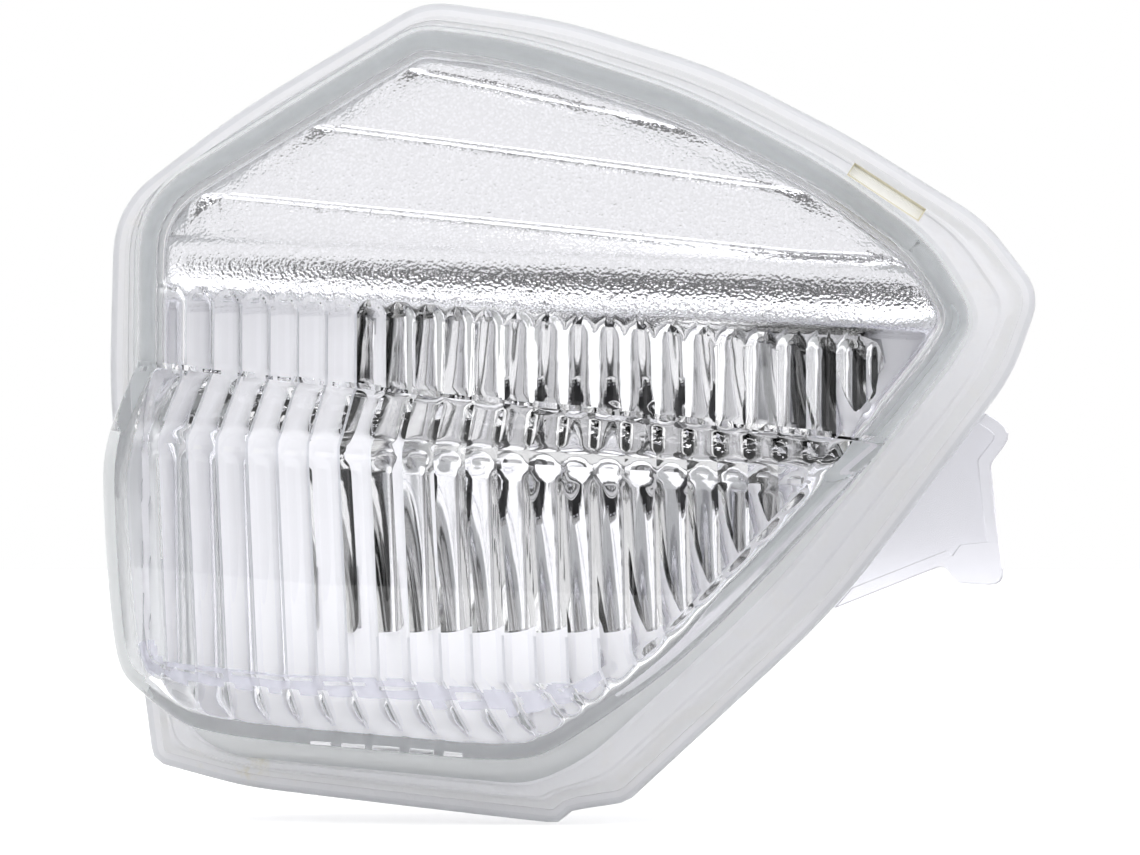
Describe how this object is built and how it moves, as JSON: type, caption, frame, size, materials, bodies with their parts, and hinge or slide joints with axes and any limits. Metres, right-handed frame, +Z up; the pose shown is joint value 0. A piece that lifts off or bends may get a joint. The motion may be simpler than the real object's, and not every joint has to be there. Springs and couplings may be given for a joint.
{
  "type": "mirror turn signal lamp",
  "caption": "Clear turn signal lamp for the front of a door mirror, with a fluted bulging lens, a reflector, a wedge bulb and a plug-in holder at the back.",
  "frame": {"origin": "on the optical axis, at the front of the lens flange, where the lamp seats in the mirror", "axes": "+X to the right across the lamp as seen from the front, +Y backwards along the optical axis into the mirror, +Z up"},
  "size_m": [0.0939, 0.0596, 0.0829],
  "materials": {
    "clear_lens": "clear moulded plastic, frosted on the flange",
    "sealant": "pale grey-green sealant",
    "mirror_coat": "metallised silver, grained on the terraces, bright in the bowl",
    "clear_housing": "clear moulded plastic",
    "bulb_glass": "silver-coated bulb glass",
    "lead_wire": "drawn wire",
    "holder_plastic": "black moulded plastic",
    "contact_metal": "stamped brass",
    "gasket_rubber": "black rubber",
    "cap_rubber": "black rubber",
    "membrane": "white porous sheet"
  },
  "bodies": {
    "root": {"outer_lens": "clear_lens", "perimeter_seal": "sealant", "reflector": "mirror_coat", "housing": "clear_housing", "bulb": "bulb_glass", "bulb_lead_left": "lead_wire", "bulb_lead_right": "lead_wire", "bulb_holder": "holder_plastic", "contact_left": "contact_metal", "contact_right": "contact_metal", "holder_gasket": "gasket_rubber", "vent_cap": "cap_rubber", "vent_membrane": "membrane"}
  },
  "joints": []
}
